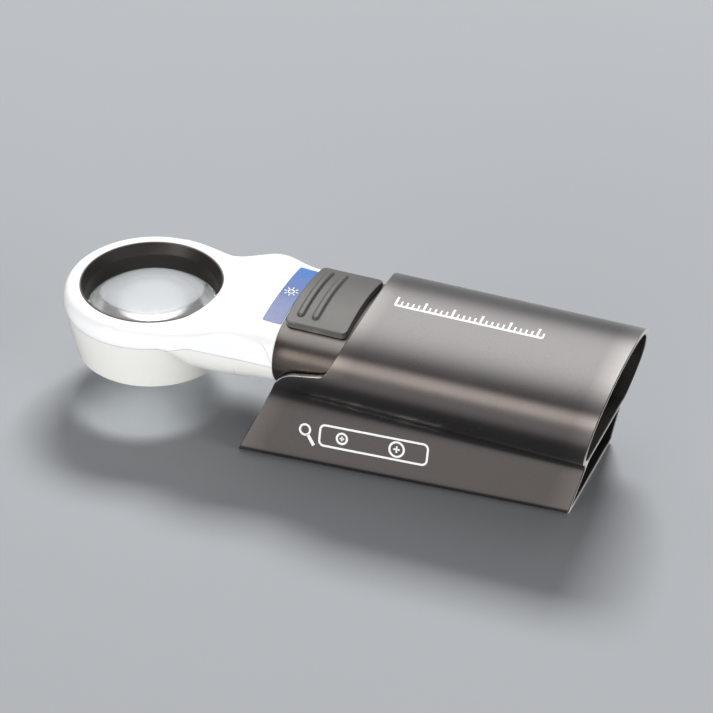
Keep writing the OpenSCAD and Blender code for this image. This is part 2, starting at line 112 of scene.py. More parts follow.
def offset(loop, distance):
    """A closed outline moved inwards (to the left of its direction) by a distance."""
    ahead = np.roll(loop, -1, axis=0) - np.roll(loop, 1, axis=0)
    ahead /= np.maximum(np.linalg.norm(ahead, axis=1), 1e-9)[:, None]
    return loop + distance * np.column_stack([-ahead[:, 1], ahead[:, 0]])


class Shape:
    """Points in millimetres and faces, each with the number of its material."""

    def __init__(self):
        self.points = []
        self.faces = []
        self.marks = []

    def ring(self, points):
        start = len(self.points)
        self.points.extend(tuple(float(c) for c in p) for p in points)
        return list(range(start, len(self.points)))

    def face(self, numbers, mark=0):
        self.faces.append(tuple(numbers))
        self.marks.append(mark)

    def join(self, a, b, mark=0, closed=True):
        count = len(a)
        for i in range(count if closed else count - 1):
            k = (i + 1) % count
            self.face((a[i], a[k], b[k], b[i]), mark)

    def build(self, name, body, materials, crease=35):
        mesh = bpy.data.meshes.new(name)
        mesh.from_pydata([(x * MM, y * MM, z * MM) for x, y, z in self.points], [], self.faces)
        mesh.polygons.foreach_set("material_index", self.marks)
        tidy = bmesh.new()
        tidy.from_mesh(mesh)
        bmesh.ops.remove_doubles(tidy, verts=tidy.verts, dist=1e-7)
        bmesh.ops.dissolve_degenerate(tidy, edges=tidy.edges, dist=1e-7)
        bmesh.ops.recalc_face_normals(tidy, faces=tidy.faces)
        tidy.to_mesh(mesh)
        tidy.free()
        return add_piece(name, mesh, body, materials, crease)


def add_piece(name, mesh, body, materials, crease=35):
    piece = bpy.data.objects.new(name, mesh)
    scene.collection.objects.link(piece)
    for material in materials:
        mesh.materials.append(material)
    mesh.polygons.foreach_set("use_smooth", [True] * len(mesh.polygons))
    mesh.set_sharp_from_angle(angle=math.radians(crease))
    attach(piece, body)
    return piece


def fill_between(shape, rings, mark):
    """Closes the flat region between an outline and the outlines of its holes, seen along X."""
    numbers = [n for ring in rings for n in ring]
    flat = [Vector(shape.points[n][1:]) for n in numbers]
    edges = []
    start = 0
    for ring in rings:
        count = len(ring)
        edges += [(start + i, start + (i + 1) % count) for i in range(count)]
        start += count
    holes = [[flat[i] for i in range(len(rings[0]), len(flat))]]
    made = delaunay_2d_cdt(flat, edges, [], 1, 1e-9)
    bounds = np.cumsum([0] + [len(ring) for ring in rings])
    holes = [np.array([flat[i][:] for i in range(a, b)]) for a, b in zip(bounds[1:-1], bounds[2:])]
    for face in made[2]:
        centre = sum((np.array(made[0][i][:]) for i in face), np.zeros(2)) / len(face)
        if not any(inside(centre, hole) for hole in holes):
            shape.face([numbers[made[3][i][0]] for i in face], mark)


def inside(point, loop):
    """True where a point lies inside a closed outline."""
    a, b = loop, np.roll(loop, -1, axis=0)
    crosses = (a[:, 1] > point[1]) != (b[:, 1] > point[1])
    rise = np.where(crosses, b[:, 1] - a[:, 1], 1)
    at = a[:, 0] + (point[1] - a[:, 1]) * (b[:, 0] - a[:, 0]) / rise
    return bool(np.count_nonzero(crosses & (point[0] < at)) % 2)


def lathe(shape, profile, mark=0, turns=144):
    """A closed profile of (radius, height) turned about the lens axis."""
    rings = []
    for i in range(turns):
        angle = 2 * math.pi * i / turns
        rings.append(shape.ring([(LENS_X + r * math.cos(angle), r * math.sin(angle), RIM_Z + z)
                                 for r, z in profile]))
    for i in range(turns):
        shape.join(rings[i], rings[(i + 1) % turns], mark)


# ---------- materials ----------

def new_material(name):
    made = bpy.data.materials.new(name)
    made.use_nodes = True
    return made, made.node_tree.nodes, made.node_tree.links, made.node_tree.nodes["Principled BSDF"]


def grain(nodes, links, scale, detail=6, stretch=(1, 1, 1)):
    """Fine noise in the object's own coordinates; scale counts grains per metre."""
    where = nodes.new("ShaderNodeTexCoord")
    mapping = nodes.new("ShaderNodeMapping")
    mapping.inputs["Scale"].default_value = stretch
    noise = nodes.new("ShaderNodeTexNoise")
    noise.inputs["Scale"].default_value = scale
    noise.inputs["Detail"].default_value = detail
    links.new(where.outputs["Object"], mapping.inputs["Vector"])
    links.new(mapping.outputs["Vector"], noise.inputs["Vector"])
    return noise.outputs["Fac"]


def spread(nodes, links, value, low, high, from_low=0.3, from_high=0.7):
    """Maps a noise value onto a range."""
    mapped = nodes.new("ShaderNodeMapRange")
    mapped.inputs["From Min"].default_value = from_low
    mapped.inputs["From Max"].default_value = from_high
    mapped.inputs["To Min"].default_value = low
    mapped.inputs["To Max"].default_value = high
    links.new(value, mapped.inputs["Value"])
    return mapped.outputs["Result"]


def mix(nodes, links, share, first, second):
    """Mixes two colours; share may be a number or a socket, and so may the colours."""
    made = nodes.new("ShaderNodeMix")
    made.data_type = "RGBA"
    for socket, value in ((made.inputs[0], share), (made.inputs[6], first), (made.inputs[7], second)):
        if isinstance(value, bpy.types.NodeSocket):
            links.new(value, socket)
        else:
            socket.default_value = value if isinstance(value, float) else (*value, 1)
    return made.outputs[2]


def worn_edges(nodes, links, low=0.52, high=0.58):
    """A mask of sharp outer edges, from 0 to 1."""
    geometry = nodes.new("ShaderNodeNewGeometry")
    return spread(nodes, links, geometry.outputs["Pointiness"], 0.0, 1.0, low, high)


def surface(name, colour, roughness, metallic=0.0, scale=2500, tone=0.06, bump=0.04, rough_spread=0.06,
            stretch=(1, 1, 1), wear=None, coat=0.0, specular=0.5, depth=0.00002, subsurface=0.0):
    """A finish with grain in its colour, roughness and relief, and lighter or darker edges."""
    made, nodes, links, shader = new_material(name)
    fine = grain(nodes, links, scale, stretch=stretch)
    broad = grain(nodes, links, scale / 40, detail=3, stretch=stretch)
    dark = tuple(c * (1 - tone) for c in colour)
    light = tuple(min(1, c * (1 + tone)) for c in colour)
    base = mix(nodes, links, spread(nodes, links, fine, 0.0, 1.0), dark, light)
    base = mix(nodes, links, spread(nodes, links, broad, 0.0, 0.35), base, light)
    if wear is not None:
        base = mix(nodes, links, worn_edges(nodes, links), base, wear)
    links.new(base, shader.inputs["Base Color"])
    links.new(spread(nodes, links, broad, roughness - rough_spread, roughness + rough_spread),
              shader.inputs["Roughness"])
    relief = nodes.new("ShaderNodeBump")
    relief.inputs["Strength"].default_value = bump
    relief.inputs["Distance"].default_value = depth
    links.new(fine, relief.inputs["Height"])
    links.new(relief.outputs["Normal"], shader.inputs["Normal"])
    shader.inputs["Metallic"].default_value = metallic
    shader.inputs["Coat Weight"].default_value = coat
    shader.inputs["Specular IOR Level"].default_value = specular
    shader.inputs["Subsurface Weight"].default_value = subsurface
    shader.inputs["Subsurface Radius"].default_value = (0.002, 0.002, 0.002)
    shader.inputs["Subsurface Scale"].default_value = 0.5
    return made


def clear(name, tint, roughness, ior=1.49, lets=0.93, clarity=1.0):
    """Clear moulding with faint dust and haze; lets is the share of light its shadow lets through."""
    made, nodes, links, shader = new_material(name)
    dust = grain(nodes, links, 900, detail=8)
    shader.inputs["Base Color"].default_value = (*tint, 1)
    shader.inputs["Transmission Weight"].default_value = clarity
    shader.inputs["IOR"].default_value = ior
    links.new(spread(nodes, links, dust, roughness, roughness + 0.03, 0.55, 0.75), shader.inputs["Roughness"])
    path = nodes.new("ShaderNodeLightPath")
    through = nodes.new("ShaderNodeBsdfTransparent")
    through.inputs["Color"].default_value = (*(lets * c for c in tint), 1)
    choose = nodes.new("ShaderNodeMixShader")
    links.new(path.outputs["Is Shadow Ray"], choose.inputs["Fac"])
    links.new(shader.outputs["BSDF"], choose.inputs[1])
    links.new(through.outputs["BSDF"], choose.inputs[2])
    links.new(choose.outputs["Shader"], nodes["Material Output"].inputs["Surface"])
    return made


def ramp_along(name, axis, stops, roughness, metallic=0.0, coat=0.0):
    """A colour ramp along one axis of the frame, given as (place in millimetres, colour), with print grain."""
    made, nodes, links, shader = new_material(name)
    where = nodes.new("ShaderNodeTexCoord")
    split = nodes.new("ShaderNodeSeparateXYZ")
    links.new(where.outputs["Object"], split.inputs["Vector"])
    first, last = stops[0][0], stops[-1][0]
    along = spread(nodes, links, split.outputs[axis], 0.0, 1.0, first * MM, last * MM)
    ramp = nodes.new("ShaderNodeValToRGB")
    while len(ramp.color_ramp.elements) < len(stops):
        ramp.color_ramp.elements.new(0.5)
    for element, (place, colour) in zip(ramp.color_ramp.elements, stops):
        element.position = (place - first) / (last - first)
        element.color = (*colour, 1)
    links.new(along, ramp.inputs["Fac"])
    fine = grain(nodes, links, 4000)
    lighter = mix(nodes, links, 0.25, (0.5, 0.5, 0.5), (1.0, 1.0, 1.0))
    base = mix(nodes, links, spread(nodes, links, fine, 0.0, 0.12), ramp.outputs["Color"], lighter)
    links.new(base, shader.inputs["Base Color"])
    links.new(spread(nodes, links, fine, roughness - 0.05, roughness + 0.05), shader.inputs["Roughness"])
    shader.inputs["Metallic"].default_value = metallic
    shader.inputs["Coat Weight"].default_value = coat
    return made


anodised = surface("anodised_sleeve", (0.215, 0.204, 0.200), 0.28, metallic=0.96, scale=2600, tone=0.05,
                   bump=0.05, wear=(0.42, 0.40, 0.38), rough_spread=0.015, depth=0.00003)
# Painted shade: the inner walls of the tube and of the hollow beneath it get a much darker copy of the sleeve's
# anodising
anodised_inside_painted_shade = surface("anodised_inside_painted_shade", (0.07, 0.066, 0.064), 0.5, metallic=0.8, scale=4000, tone=0.12,
                          bump=0.15)
cut_metal = surface("cut_edge", (0.72, 0.70, 0.68), 0.27, metallic=1.0, scale=2600, tone=0.08, bump=0.25,
                    stretch=(3, 0.2, 1))
handle_coat = surface("handle_coat", (0.165, 0.150, 0.140), 0.28, metallic=0.92, scale=3000, tone=0.07,
                      bump=0.06, wear=(0.26, 0.24, 0.23), depth=0.00003)
slider_coat = surface("slider_coat", (0.150, 0.146, 0.138), 0.42, metallic=0.6, scale=6000, tone=0.14,
                      bump=0.25, wear=(0.34, 0.32, 0.30), depth=0.00003)
cover_coat = surface("cover_coat", (0.46, 0.455, 0.44), 0.5, metallic=0.25, scale=6000, tone=0.1,
                     bump=0.2, wear=(0.46, 0.45, 0.44), depth=0.00003)
white_shell = surface("white_moulding", (0.90, 0.905, 0.91), 0.24, scale=3200, tone=0.012, bump=0.05,
                      rough_spread=0.03, coat=0.25, subsurface=0.12)
cream_shell = surface("cream_moulding", (0.80, 0.80, 0.765), 0.30, scale=3200, tone=0.015, bump=0.05,
                      rough_spread=0.03, coat=0.15, subsurface=0.1)
black_ring = surface("ring_satin", (0.095, 0.086, 0.080), 0.36, metallic=0.85, scale=5000, tone=0.12,
                     bump=0.2, wear=(0.12, 0.11, 0.10))
lens_glass = clear("lens_glass", (0.97, 0.985, 0.98), 0.0, ior=1.49, clarity=0.93)
window_clear = clear("window_clear", (0.95, 0.97, 0.97), 0.08)
steel = surface("plated_steel", (0.66, 0.65, 0.63), 0.28, metallic=1.0, scale=3000, tone=0.1, bump=0.2,
                stretch=(1, 0.15, 1), wear=(0.85, 0.84, 0.82))
brass = surface("contact_brass", (0.72, 0.56, 0.28), 0.3, metallic=1.0, scale=3000, tone=0.12, bump=0.2,
                wear=(0.85, 0.72, 0.42))
print_white = surface("print_white", (0.93, 0.93, 0.92), 0.5, scale=5000, tone=0.05, bump=0.1)
wire_red = surface("wire_red", (0.55, 0.05, 0.035), 0.42, scale=3000, tone=0.08, bump=0.1)
wire_black = surface("wire_black", (0.03, 0.03, 0.032), 0.42, scale=3000, tone=0.2, bump=0.1)


def board_material():
    """Green solder mask over a lattice of fine tracks."""
    made, nodes, links, shader = new_material("solder_mask")
    where = nodes.new("ShaderNodeTexCoord")
    tracks = nodes.new("ShaderNodeTexBrick")
    tracks.inputs["Scale"].default_value = 260
    tracks.inputs["Mortar Size"].default_value = 0.03
    tracks.inputs["Color1"].default_value = (0.03, 0.17, 0.07, 1)
    tracks.inputs["Color2"].default_value = (0.035, 0.19, 0.08, 1)
    tracks.inputs["Mortar"].default_value = (0.07, 0.30, 0.13, 1)
    links.new(where.outputs["Object"], tracks.inputs["Vector"])
    links.new(tracks.outputs["Color"], shader.inputs["Base Color"])
    relief = nodes.new("ShaderNodeBump")
    relief.inputs["Strength"].default_value = 0.3
    relief.inputs["Distance"].default_value = 0.00005
    links.new(tracks.outputs["Fac"], relief.inputs["Height"])
    links.new(relief.outputs["Normal"], shader.inputs["Normal"])
    shader.inputs["Roughness"].default_value = 0.35
    shader.inputs["Coat Weight"].default_value = 0.4
    return made


def lamp_material():
    """A phosphor dome that glows a little."""
    made = surface("lamp_phosphor", (0.95, 0.88, 0.55), 0.3, scale=4000, tone=0.06, bump=0.1, coat=0.6)
    shader = made.node_tree.nodes["Principled BSDF"]
    shader.inputs["Emission Color"].default_value = (1.0, 0.97, 0.86, 1)
    shader.inputs["Emission Strength"].default_value = 0.6
    return made


solder_mask = board_material()
lamp_phosphor = lamp_material()
cell_low, cell_high = (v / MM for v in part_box("battery_cell_left"))
cell_wrap = ramp_along("cell_wrap", "X", [
    (cell_low.x - 0.5, (0.6, 0.6, 0.6)), (cell_low.x + 1.3, (0.62, 0.62, 0.62)),
    (cell_low.x + 1.5, (0.02, 0.06, 0.22)), (cell_low.x + 30, (0.03, 0.10, 0.32)),
    (cell_low.x + 31, (0.75, 0.76, 0.78)), (cell_high.x - 1, (0.7, 0.7, 0.72))], 0.25, metallic=0.3, coat=0.5)
resistor_low, resistor_high = (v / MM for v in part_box("drive_resistor"))
BEIGE = (0.62, 0.50, 0.32)
BAND_COLOURS = ((0.30, 0.10, 0.03), (0.02, 0.02, 0.02), (0.30, 0.10, 0.03), (0.65, 0.48, 0.12))


def banded(low, high):
    """Stops of a resistor's colour bands between its end caps."""
    stops = [(low, (0.6, 0.6, 0.6)), (low + 1.0, BEIGE)]
    pitch = (high - low - 3) / len(BAND_COLOURS)
    for i, colour in enumerate(BAND_COLOURS):
        at = low + 1.7 + i * pitch
        stops += [(at, BEIGE), (at + 0.05, colour), (at + 0.5, colour), (at + 0.55, BEIGE)]
    return stops + [(high - 1.0, BEIGE), (high, (0.6, 0.6, 0.6))]


resistor_body = ramp_along("resistor_body", "Y", banded(resistor_low.y, resistor_high.y), 0.4, coat=0.3)
label_film = ramp_along("label_film", "Y", [
    (label_low.y, (0.20, 0.23, 0.40)), (label_low.y * 0.3, (0.12, 0.165, 0.37)), (0, (0.05, 0.10, 0.32)),
    (label_high.y, (0.02, 0.16, 0.50))], 0.3, coat=0.3)

# ---------- stand sleeve ----------

WALL = 1.5
TUBE_CY = 9.0
TUBE_R = 13.0
GRIP_Z = (crown_high.z + 16.6) / 2 - 0.05
FLOOR_TOP = 16.55
FLOOR_LOW = 15.2
BASE_T = 1.3
SKIRT_Z = 19.6
FLAP_LEAN = 0.23
FOOT_R = 2.2
FOOT_FRONT = 23.2
FOOT_BACK = 17.3
FLAP_SLOPE = 0.44
MOUTH_SLOPE = 0.47
BUTT_SLOPE = 0.23
MOUTH_X = -33.55
STEP_Z = 28.5
FLAP_Z = 26.4
CUT = 0.22
TROUGH_ROUND = 3.6
TROUGH_TAPER = 0.02
STAND_HALF = -sleeve_low.x
STAND_H = sleeve_high.z
TUBE_UP = STAND_H - GRIP_Z


def foot_y(x):
    """Half-width of the foot at a place along the stand."""
    return (FOOT_FRONT + FOOT_BACK) / 2 - x * (FOOT_FRONT - FOOT_BACK) / (2 * STAND_HALF)


def trough(x):
    """Where the skirt's slanted side runs into the tube's side circle."""
    top = np.array([foot_y(x) - FLAP_LEAN * SKIRT_Z, SKIRT_Z])
    way = np.array([foot_y(x), 0]) - top
    way /= np.linalg.norm(way)
    out = top - [TUBE_CY, GRIP_Z]
    b = float(out @ way)
    root = b * b - (float(out @ out) - TUBE_R ** 2)
    return top + way * (-b + math.sqrt(max(root, 0)))


def foot_end(x):
    """Where the foot's round edge runs into the skirt's slanted side."""
    lean = math.atan(FLAP_LEAN)
    return np.array([foot_y(x) - FOOT_R + FOOT_R * math.cos(lean), FOOT_R + FOOT_R * math.sin(lean)])


def sleeve_outside(x):
    """Outer outline of the sleeve at x, from the middle of the base round to the middle of the top."""
    cy = foot_y(x) - FOOT_R
    lean = math.degrees(math.atan(FLAP_LEAN))
    corner = trough(x)
    foot = arc(cy, FOOT_R, FOOT_R, -90, lean, 12)
    up = corner - foot[-1]
    up /= np.linalg.norm(up)
    before = corner - up * (TROUGH_ROUND - TROUGH_TAPER * x)
    angle = math.degrees(math.atan2(corner[1] - GRIP_Z, corner[0] - TUBE_CY))
    reach = math.degrees(TROUGH_ROUND / TUBE_R)
    turn = crown_turn(TUBE_CY, TUBE_R, TUBE_UP)
    side = arc(TUBE_CY, GRIP_Z, TUBE_R, angle + reach, turn, 56)
    big = crown_radius(TUBE_CY, TUBE_R, TUBE_UP)
    crown = arc(0, STAND_H - big, big, turn, 90, 22)
    return np.vstack([line((0, 0), (cy, 0), 7)[:-1], foot, line(foot[-1], before, 14)[1:],
                      bend(before, corner, side[0], 14)[1:-1], side, crown[1:]])


def sleeve_tube():
    """Inner outline of the tube."""
    inner = TUBE_R - WALL
    low = math.degrees(math.asin((FLOOR_TOP - GRIP_Z) / inner))
    side = arc(TUBE_CY, GRIP_Z, inner, low + 3, crown_turn(TUBE_CY, TUBE_R, TUBE_UP), 50)
    corner = (TUBE_CY + inner * math.cos(math.radians(low)), FLOOR_TOP)
    big = crown_radius(TUBE_CY, TUBE_R, TUBE_UP)
    crown = arc(0, STAND_H - big, big - WALL, crown_turn(TUBE_CY, TUBE_R, TUBE_UP), 90, 22)
    start = (corner[0] - 0.8, FLOOR_TOP)
    return mirrored(np.vstack([line((0, FLOOR_TOP), start, 8)[:-1], bend(start, corner, side[0], 6)[:-1],
                               side, crown[1:]]))


def sleeve_cavity(x):
    """Outline of the hollow between the base plate and the tube's floor."""
    cy = foot_y(x) - FOOT_R
    lean = math.degrees(math.atan(FLAP_LEAN))
    inner = FOOT_R - WALL
    foot = arc(cy, FOOT_R, inner, -90, lean, 8)
    foot[:, 1] = np.maximum(foot[:, 1], BASE_T)
    top = FLOOR_LOW - 0.5
    wall = (foot_y(x) - FLAP_LEAN * top - WALL - 0.1, top)
    low = (cy - 0.5, BASE_T)
    return mirrored(np.vstack([line((0, BASE_T), low, 6), foot[2:], line(foot[-1], wall, 12)[1:],
                               bend(wall, (wall[0], FLOOR_LOW), (wall[0] - 0.6, FLOOR_LOW), 5)[1:],
                               line((wall[0] - 0.6, FLOOR_LOW), (0, FLOOR_LOW), 6)[1:]]))


def front_edge():
    """Side view of the sleeve's front edge as (x, z), with its two rounded corners."""
    foot = np.array([-STAND_HALF, 0.0])
    flap = foot + [FLAP_SLOPE * FLAP_Z, FLAP_Z]
    step = np.array([MOUTH_X + MOUTH_SLOPE * STEP_Z, STEP_Z])
    top = np.array([MOUTH_X + MOUTH_SLOPE * (STAND_H + 1), STAND_H + 1])

    def near(a, b, reach):
        return a + (b - a) / np.linalg.norm(b - a) * reach
    return np.vstack([foot[None], bend(near(flap, foot, 5.0), flap, near(flap, step, 4.2), 16),
                      bend(near(step, flap, 1.8), step, near(step, top, 1.8), 12), top[None]])


FRONT = front_edge()


def front_x(z):
    return np.interp(z, FRONT[:, 1], FRONT[:, 0])


def back_x(z):
    return STAND_HALF + BUTT_SLOPE * z


def sweep_sleeve(shape, section, cut, stations, mark):
    """Sweeps an outline that changes evenly along the stand, between the two slanted ends."""
    reach = 60.0
    first, last = section(-reach), section(reach)

    def at(share, margin):
        x = np.zeros(len(first))
        for _ in range(6):
            yz = first + (last - first) * ((x + reach) / (2 * reach))[:, None]
            start, end = front_x(yz[:, 1]) + margin, back_x(yz[:, 1]) - margin
            x = start + (end - start) * share
        return x, yz
    rings = []
    for share in np.linspace(0, 1, stations):
        x, yz = at(share, CUT)
        rings.append(shape.ring(np.column_stack([x, yz])))
    for a, b in zip(rings[:-1], rings[1:]):
        shape.join(a, b, mark)
    ends = []
    for share, ring in ((0.0, rings[0]), (1.0, rings[-1])):
        x, yz = at(share, 0.0)
        inset = offset(yz, cut)
        x = front_x(inset[:, 1]) if share == 0 else back_x(inset[:, 1])
        end = shape.ring(np.column_stack([x, inset]))
        shape.join(ring, end, 1)
        ends.append(end)
    return ends


def make_sleeve():
    shape = Shape()
    outer = sweep_sleeve(shape, lambda x: mirrored(sleeve_outside(x)), CUT, 12, 0)
    # The tube's and the hollow's inner walls take material 2, the darker anodising that paints their shade
    tube = sweep_sleeve(shape, lambda x: sleeve_tube(), -CUT, 12, 2)
    cavity = sweep_sleeve(shape, sleeve_cavity, -CUT, 12, 2)
    for end in range(2):
        fill_between(shape, [outer[end], tube[end], cavity[end]], 1)
    piece = shape.build("sleeve_extrusion", "stand", [anodised, cut_metal, anodised_inside_painted_shade], crease=28)
    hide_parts("stand_sleeve")
    return piece


make_sleeve()

# ---------- prints on the sleeve ----------

PRINT_T = 0.05


def flap_point(x, z, lift):
    """A point on the flap's outer face, on the photograph's near side, raised by lift."""
    low, high = foot_end(x), trough(x)
    share = (z - low[1]) / (high[1] - low[1])
    return (x, -(low[0] + (high[0] - low[0]) * share + lift), z)


def roof_point(x, y, lift):
    """A point on the sleeve's crown, raised by lift."""
    big = crown_radius(TUBE_CY, TUBE_R, TUBE_UP)
    return (x, y, STAND_H - big + math.sqrt((big + lift) ** 2 - y ** 2))


def ribbon(shape, points, width, place, closed=False):
    """A printed line of even width through points on a surface, as a thin closed body."""
    path = np.array(points, float)
    ahead = np.gradient(path, axis=0)
    if closed:
        ahead = np.roll(path, -1, axis=0) - np.roll(path, 1, axis=0)
    ahead /= np.maximum(np.linalg.norm(ahead, axis=1), 1e-9)[:, None]
    side = np.column_stack([-ahead[:, 1], ahead[:, 0]]) * width / 2
    sections = []
    for p, s in zip(path, side):
        sections.append(shape.ring([place(*(p + s), PRINT_T), place(*(p - s), PRINT_T),
                                    place(*(p - s), -PRINT_T), place(*(p + s), -PRINT_T)]))
    for a, b in zip(sections[:-1], sections[1:]):
        shape.join(a, b)
    if closed:
        shape.join(sections[-1], sections[0])
    else:
        shape.face(sections[0])
        shape.face(sections[-1][::-1])


def rounded_frame(low, high, radius):
    """Points of a rectangle with round corners, anticlockwise."""
    corners = ((high[0] - radius, low[1] + radius, -90), (high[0] - radius, high[1] - radius, 0),
               (low[0] + radius, high[1] - radius, 90), (low[0] + radius, low[1] + radius, 180))
    return np.vstack([arc(cx, cy, radius, start, start + 90, 8) for cx, cy, start in corners])


def circle_points(centre, radius, count=32):
    return arc(centre[0], centre[1], radius, 0, 360 - 360 / count, count)


def make_flap_print():
    """A lens sign and a frame that holds two plain magnifier marks, in place of lettering."""
    shape = Shape()
    line_w = 0.55
    lens_at = np.array([-25.9, 9.9])
    lens_r = 1.35
    ribbon(shape, circle_points(lens_at, lens_r), line_w, flap_point, closed=True)
    grip = np.array([0.58, -0.81])
    ribbon(shape, line(lens_at + grip * lens_r, lens_at + grip * 4.6, 6), 0.85, flap_point)
    low, high = (-21.9, 6.6), (6.6, 12.0)
    ribbon(shape, rounded_frame(low, high, 1.3), line_w, flap_point, closed=True)
    for place, radius in ((-16.0, 1.35), (-1.5, 1.9)):
        middle = np.array([place, (low[1] + high[1]) / 2])
        ribbon(shape, circle_points(middle, radius), line_w, flap_point, closed=True)
        for way in ((1, 0), (0, 1)):
            arm = np.array(way) * radius * 0.45
            ribbon(shape, line(middle - arm, middle + arm, 3), line_w * 0.8, flap_point)
    piece = shape.build("flap_print", "stand", [print_white])


def make_roof_print():
    """A plain row of scale marks along the crown, in place of lettering."""
    shape = Shape()
    start, end = -7.5, 31.5
    low_y, high_y = -4.9, -1.9
    marks = 27
    ribbon(shape, line((start, low_y), (end, low_y), 40), 0.62, roof_point)
    for i in range(marks):
        x = start + (end - start) * i / (marks - 1)
        tall = high_y if i % 5 == 0 else (low_y + (high_y - low_y) * 0.55)
        ribbon(shape, line((x, low_y), (x, tall), 4), 0.62 if i % 5 == 0 else 0.5, roof_point)
    piece = shape.build("roof_print", "stand", [print_white])


make_flap_print()
make_roof_print()

# ---------- head and neck ----------

HEAD_R = head_high.y
RIM_R = ring_high.y + 0.05
SKIRT_R = 20.3
EDGE_Z = -4.2
EDGE_W = 2.5
FOOT_Z = skirt_low.z - RIM_Z
FOOT_LIP = 0.6
GRIP_CY = 11.0
GRIP_R = 8.6
GRIP_UP = crown_high.z - GRIP_Z
GRIP_DOWN = 10.2
GRIP_C = GRIP_Z - RIM_Z
NECK_END = head_high.x - LENS_X - 2.8
NECK_RAMP = 19.5
NECK_FULL = 36.6
NECK_WAIST = 20.2
PART_HEAD = -5.5
PART_NECK = -3.35
PART_X = (12.5, 19.0)
PART_GAP = 0.09
END_ROUND = 0.35
TOP_BLEND = (25, 41)
LOW_BLEND = (8, 20)
EDGE_BLEND = (11, 24)
NECK_EDGE_W = 1.7
NECK_EDGE_H = 2.1
RAMP_X = (14.5, 38.0)


def soft_max(a, b, reach):
    near = np.maximum(reach - np.abs(a - b), 0) / reach
    return np.maximum(a, b) + near ** 2 * reach / 4


def soft_min(a, b, reach):
    return -soft_max(-a, -b, reach)


def eased(x, low, high):
    t = np.clip((x - low) / (high - low), 0, 1)
    return t * t * (3 - 2 * t)


def waist(x):
    """Half-width of the neck."""
    share = np.clip((x - NECK_RAMP) / (NECK_FULL - NECK_RAMP), 0, 1)
    return NECK_WAIST + (GRIP_CY + GRIP_R - NECK_WAIST) * share


def depth_inside(x, y):
    """Distance from the plan outline of head and neck, positive inside."""
    head = HEAD_R - np.hypot(x, y)
    neck = np.where(x > 0, waist(x) - np.abs(y), -50.0)
    return soft_max(head, neck, 5.0)


def oval_height(depth, rise):
    """Height of the handle's oval above its widest line, at a depth in from its side."""
    big = crown_radius(GRIP_CY, GRIP_R, rise)
    joint = GRIP_CY * big / (big - GRIP_R)
    y = np.clip(GRIP_CY + GRIP_R - depth, 0, GRIP_CY + GRIP_R)
    side = np.sqrt(np.maximum(GRIP_R ** 2 - np.maximum(y - GRIP_CY, 0) ** 2, 0))
    return np.where(y > joint, side, rise - big + np.sqrt(big ** 2 - np.minimum(y, joint) ** 2))


def end_round(x):
    """How far the surface drops in the small radius at the neck's end."""
    t = np.clip((x - (NECK_END - END_ROUND)) / END_ROUND, 0, 1)
    return END_ROUND * (1 - np.sqrt(1 - t ** 2))


def top_height(x, y):
    """Height of the upper shell over the plan, from the rim."""
    depth = np.maximum(depth_inside(x, y), 0)
    neck = eased(x, *TOP_BLEND)
    share = eased(x, *EDGE_BLEND)
    edge_w = EDGE_W + (NECK_EDGE_W - EDGE_W) * share
    edge_h = -EDGE_Z + (NECK_EDGE_H + EDGE_Z) * share
    t = np.clip(1 - depth / edge_w, 0, 1)
    even = np.clip((x - RAMP_X[0]) / (RAMP_X[1] - RAMP_X[0]), 0, 1)
    ramp = (even + eased(x, *RAMP_X)) / 2 * (GRIP_C + GRIP_UP)
    flat = ramp - edge_h * (1 - np.sqrt(1 - t ** 2))
    oval = GRIP_C + oval_height(depth, GRIP_UP)
    return flat * (1 - neck) + soft_min(oval, flat, 2.5) * neck - end_round(x)


def low_height(x, y):
    """Height of the lower shell's outside over the plan."""
    depth = np.maximum(depth_inside(x, y), 0)
    neck = eased(x, *TOP_BLEND)
    under = EDGE_Z * (1 - neck) + GRIP_C * neck - eased(x, *LOW_BLEND) * oval_height(depth, GRIP_DOWN)
    under = under + end_round(x)
    under = np.where(x < 8, EDGE_Z, under)
    r = np.hypot(x, y)
    share = np.clip((HEAD_R - r) / (HEAD_R - SKIRT_R), 0, 1) ** (1 / 1.15)
    foot = FOOT_Z + FOOT_LIP
    wall = EDGE_Z + (foot - EDGE_Z) * share
    return np.where(r > HEAD_R + 0.4, under, soft_min(under, np.where(r > HEAD_R, 30.0, wall), 1.4))


def part_height(x):
    return np.interp(x, PART_X, (PART_HEAD, PART_NECK))


def reach_of(angle):
    """Distance from the lens axis to the plan outline, or to the neck's end plane."""
    c, s = math.cos(angle), math.sin(angle)
    far = 60.0
    if c > 0:
        far = min(far, NECK_END / c)
    low, high = 10.0, far
    if depth_inside(np.array(high * c), np.array(high * s)) > 0:
        return high
    for _ in range(50):
        middle = (low + high) / 2
        if depth_inside(np.array(middle * c), np.array(middle * s)) > 0:
            low = middle
        else:
            high = middle
    return low


def head_line(angle):
    """The outside of the head along one ray, from the rim over the edge down to the skirt's foot."""
    c, s = math.cos(angle), math.sin(angle)
    far = reach_of(angle)
    u = np.linspace(0, 1, 300)
    r = RIM_R + 0.25 + (far - RIM_R - 0.25) * np.sin(u * math.pi / 2)
    top = np.column_stack([r, top_height(r * c, r * s)])
    rim = np.column_stack([np.linspace(RIM_R, RIM_R + 0.25, 5),
                           top[0, 1] - 0.25 + 0.25 * np.sin(np.linspace(0, math.pi / 2, 5))])
    wide = min(HEAD_R + 0.6, far)
    back = np.concatenate([far - (far - SKIRT_R) * (1 - np.cos(u * math.pi / 2)),
                           np.linspace(wide, SKIRT_R, 260)])
    back = np.unique(back)[::-1]
    low = np.column_stack([back, low_height(back * c, back * s)])
    face = line(top[-1], low[0], 60)[1:-1]
    lip = arc(SKIRT_R - FOOT_LIP, FOOT_Z + FOOT_LIP, FOOT_LIP, 0, -90, 10)
    return np.vstack([rim[:-1], top, face, low, lip[1:]])


